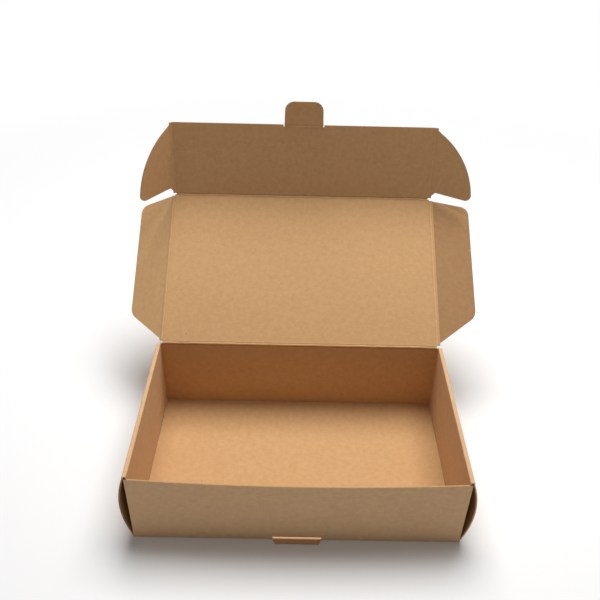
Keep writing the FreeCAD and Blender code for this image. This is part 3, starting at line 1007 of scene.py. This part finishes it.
# %% [markdown]
# ## Camera
# The photo was taken by hand from above the front wall. The camera's place, tilt and focal
# length were worked out from the corners of the tray and the lid.

# %% Set the camera at the photo's angle
FRAME_PIXELS = 600
SENSOR_MM = 36.0
FOCAL_PIXELS = 695.4
CAMERA_PLACE = Vector((-0.0059, -0.399, 0.4636))
TILT = math.radians(36.05)
TURN = math.radians(0.61)
ROLL = math.radians(-1.5)
NEAREST = 0.01
FURTHEST = 20.0


def look_axes(tilt, turn, roll):
    """The camera's right, up and back directions as a matrix."""
    reach = math.cos(tilt)
    ahead = Vector((math.sin(turn) * reach, math.cos(turn) * reach, -math.sin(tilt)))
    level = Vector((math.cos(turn), -math.sin(turn), 0.0))
    down = ahead.cross(level)
    right = level * math.cos(roll) + down * math.sin(roll)
    lower = down * math.cos(roll) - level * math.sin(roll)
    return Matrix((right, -lower, -ahead)).transposed().to_4x4()


lens = bpy.data.cameras.new("camera")
lens.sensor_width = SENSOR_MM
lens.lens = FOCAL_PIXELS * SENSOR_MM / FRAME_PIXELS
lens.clip_start = NEAREST
lens.clip_end = FURTHEST
camera = bpy.data.objects.new("camera", lens)
camera.matrix_world = Matrix.Translation(CAMERA_PLACE) @ look_axes(TILT, TURN, ROLL)
scene.collection.objects.link(camera)
scene.camera = camera
print("lens mm", round(lens.lens, 2))


# %% [markdown]
# ## Light
# A large soft lamp hangs above and a little behind, because in the photo the walls that face
# the camera are much darker than the floor of the tray. The world adds a weak even light, but
# looks plain white to the camera and in reflections.

# %% Hang the lamp and light the world
LAMP_SIZE = (1.0, 0.7)
LAMP_PLACE = Vector((0.1, 0.42, 1.2))
LAMP_AIM = Vector((0.0, 0.02, 0.05))
LAMP_POWER = 19.3
WORLD_LEVEL = 0.21
WHITE = (1.0, 1.0, 1.0, 1.0)

lamp_data = bpy.data.lights.new("softbox", "AREA")
lamp_data.shape = "RECTANGLE"
lamp_data.size, lamp_data.size_y = LAMP_SIZE
lamp_data.energy = LAMP_POWER
lamp = bpy.data.objects.new("softbox", lamp_data)
lamp.location = LAMP_PLACE
lamp.rotation_euler = (LAMP_AIM - LAMP_PLACE).to_track_quat("-Z", "Y").to_euler()
scene.collection.objects.link(lamp)


def seen_directly(tree):
    """1 for rays from the camera, and for those that gloss or glass send on."""
    path = add_node(tree, "ShaderNodeLightPath")
    seen = math_node(tree, "MAXIMUM", path.outputs["Is Camera Ray"], path.outputs["Is Glossy Ray"])
    return math_node(tree, "MAXIMUM", seen, path.outputs["Is Transmission Ray"])


world = bpy.data.worlds.new("studio")
world.use_nodes = True
sky = world.node_tree.nodes["Background"]
sky.inputs["Color"].default_value = WHITE
extra = math_node(world.node_tree, "MULTIPLY", seen_directly(world.node_tree), 1.0 - WORLD_LEVEL)
level = math_node(world.node_tree, "ADD", extra, WORLD_LEVEL)
world.node_tree.links.new(level, sky.inputs["Strength"])
scene.world = world
print("lamp", LAMP_POWER, "W, world", WORLD_LEVEL)


# %% [markdown]
# ## Floor
# The floor is pale and keeps the box's shadow close by. Further out it turns plain white, again
# only where it is seen directly, so it adds no light to the box.

# %% Lay the floor
FLOOR_SIZE = 6.0
FLOOR_SHADE = 0.88
SHADOW_NEAR = 0.3
SHADOW_FAR = 0.9


def pale_floor():
    """Diffuse near the box, and plain white for the camera further out."""
    material = bpy.data.materials.new("pale_floor")
    material.use_nodes = True
    tree = material.node_tree
    tree.nodes.clear()
    place = add_node(tree, "ShaderNodeTexCoord")
    away = add_node(tree, "ShaderNodeVectorMath", operation="LENGTH")
    tree.links.new(place.outputs["Object"], away.inputs[0])
    distance = spread(tree, away.outputs["Value"], SHADOW_NEAR, SHADOW_FAR)
    pale = (FLOOR_SHADE, FLOOR_SHADE, FLOOR_SHADE, 1.0)
    matt = add_node(tree, "ShaderNodeBsdfDiffuse", {"Color": pale})
    glow = add_node(tree, "ShaderNodeEmission")
    blend = add_node(tree, "ShaderNodeMixShader")
    tree.links.new(math_node(tree, "MULTIPLY", distance, seen_directly(tree)), blend.inputs[0])
    tree.links.new(matt.outputs[0], blend.inputs[1])
    tree.links.new(glow.outputs[0], blend.inputs[2])
    out = add_node(tree, "ShaderNodeOutputMaterial")
    tree.links.new(blend.outputs[0], out.inputs["Surface"])
    return material


bm = bmesh.new()
bmesh.ops.create_grid(bm, x_segments=1, y_segments=1, size=FLOOR_SIZE / 2)
floor = new_piece("studio_floor", bm)
floor.data.materials.append(pale_floor())
scene.view_settings.view_transform = "Standard"
print("floor", FLOOR_SIZE, "m wide")
